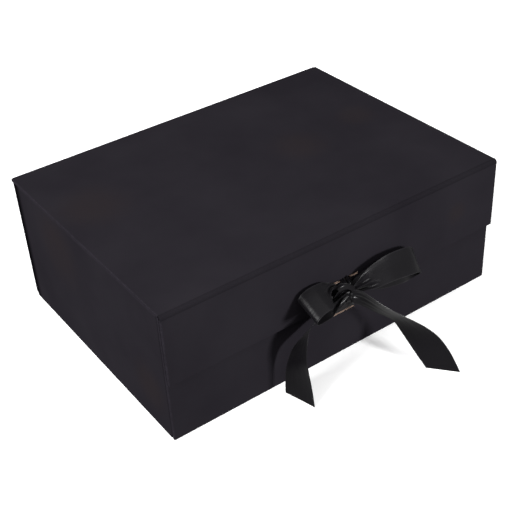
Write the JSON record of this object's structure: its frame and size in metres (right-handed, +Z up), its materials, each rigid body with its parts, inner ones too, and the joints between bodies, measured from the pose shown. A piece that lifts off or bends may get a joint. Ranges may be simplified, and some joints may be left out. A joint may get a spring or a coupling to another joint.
{
  "type": "fold-flat gift box with ribbon",
  "caption": "Rectangular presentation box in dark paper with a hinged lid, a magnetic front flap over the front wall and a satin ribbon tied in a bow.",
  "frame": {"origin": "on the table, under the middle of the box's walls and lid", "axes": "+X along the front edge to the right, -Y towards the flap's side, +Z up"},
  "size_m": [0.33, 0.3223, 0.1223],
  "materials": {
    "black_paper": "matte laminated paper on board",
    "liner_paper": "uncoated matte paper",
    "satin_ribbon": "satin weave",
    "tape_film": "translucent double-sided film",
    "magnet_nickel": "nickel plated",
    "keeper_steel": "plain punched steel"
  },
  "bodies": {
    "tray": {"base_panel": "black_paper", "base_liner": "liner_paper", "base_crease_front": "black_paper", "base_crease_back": "black_paper", "base_crease_left": "black_paper", "base_crease_right": "black_paper", "front_wall_panel": "black_paper", "back_wall_panel": "black_paper", "left_wall_panel": "black_paper", "right_wall_panel": "black_paper", "front_liner": "liner_paper", "back_liner": "liner_paper", "left_liner": "liner_paper", "right_liner": "liner_paper", "tab_left_front": "black_paper", "tab_left_back": "black_paper", "tab_right_front": "black_paper", "tab_right_back": "black_paper", "tape_left_front": "tape_film", "tape_left_back": "tape_film", "tape_right_front": "tape_film", "tape_right_back": "tape_film", "keeper_left": "keeper_steel", "keeper_right": "keeper_steel", "lid_crease": "black_paper", "ribbon_lower_strap": "satin_ribbon"},
    "lid": {"lid_panel": "black_paper", "lid_liner": "liner_paper", "flap_crease": "black_paper"},
    "flap": {"flap_panel": "black_paper", "flap_liner": "liner_paper", "magnet_left": "magnet_nickel", "magnet_right": "magnet_nickel", "ribbon_upper_strap": "satin_ribbon", "ribbon_lower_rise": "satin_ribbon", "ribbon_knot": "satin_ribbon", "ribbon_loop_left": "satin_ribbon", "ribbon_loop_right": "satin_ribbon", "ribbon_tail_left": "satin_ribbon", "ribbon_tail_right": "satin_ribbon"}
  },
  "joints": [
    {"name": "lid_hinge", "type": "hinge", "parent": "tray", "child": "lid", "pos_m": [0, 0.12325, 0.1223], "axis": [-1, 0, 0], "range_deg": [0, 200]},
    {"name": "flap_hinge", "type": "hinge", "parent": "lid", "child": "flap", "pos_m": [0, -0.12325, 0.1223], "axis": [-1, 0, 0], "range_deg": [0, 90]}
  ]
}
